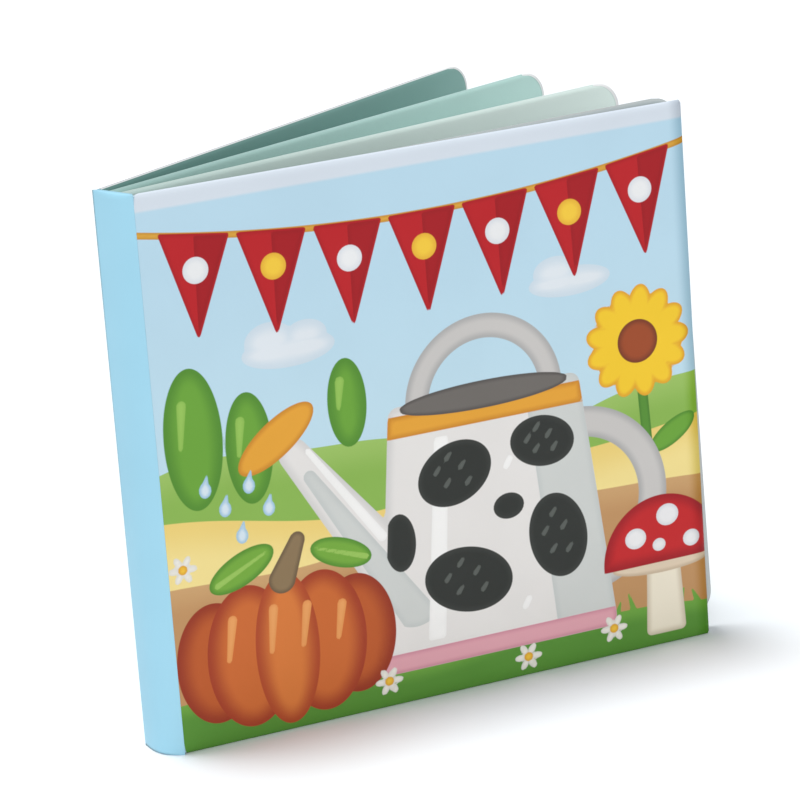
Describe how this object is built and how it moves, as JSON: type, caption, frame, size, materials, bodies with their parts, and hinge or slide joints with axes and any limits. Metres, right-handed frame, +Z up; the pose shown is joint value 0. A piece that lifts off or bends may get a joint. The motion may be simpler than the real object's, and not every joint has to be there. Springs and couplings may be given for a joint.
{
  "type": "bath book",
  "caption": "Soft bath book with padded welded-film covers, a padded spine and thick foam-filled leaves, standing fanned open on its tail; both covers hinge at the spine.",
  "frame": {"origin": "middle of the spine's tail end, on the surface that the book stands on", "axes": "+X from the spine to the fore-edge, +Y from the front cover to the back cover, +Z up from tail to head"},
  "size_m": [0.1618, 0.0874, 0.1504],
  "materials": {
    "spine_film": "satin soft film over a thin foam strip",
    "cover_film": "satin printed soft film welded over foam",
    "back_film": "satin soft film welded over foam",
    "leaf_film": "satin soft film welded over foam"
  },
  "bodies": {
    "book_block": {"spine": "spine_film", "pages": "leaf_film"},
    "front_cover": {"front_cover": "cover_film"},
    "back_cover": {"back_cover": "back_film"}
  },
  "joints": [
    {"name": "front_cover_hinge", "type": "hinge", "parent": "book_block", "child": "front_cover", "pos_m": [0, -0.0071, 0], "axis": [0, 0, -1], "range_deg": [0, 149]},
    {"name": "back_cover_hinge", "type": "hinge", "parent": "book_block", "child": "back_cover", "pos_m": [0, 0.0071, 0], "axis": [0, 0, 1], "range_deg": [-2.5, 169]}
  ]
}
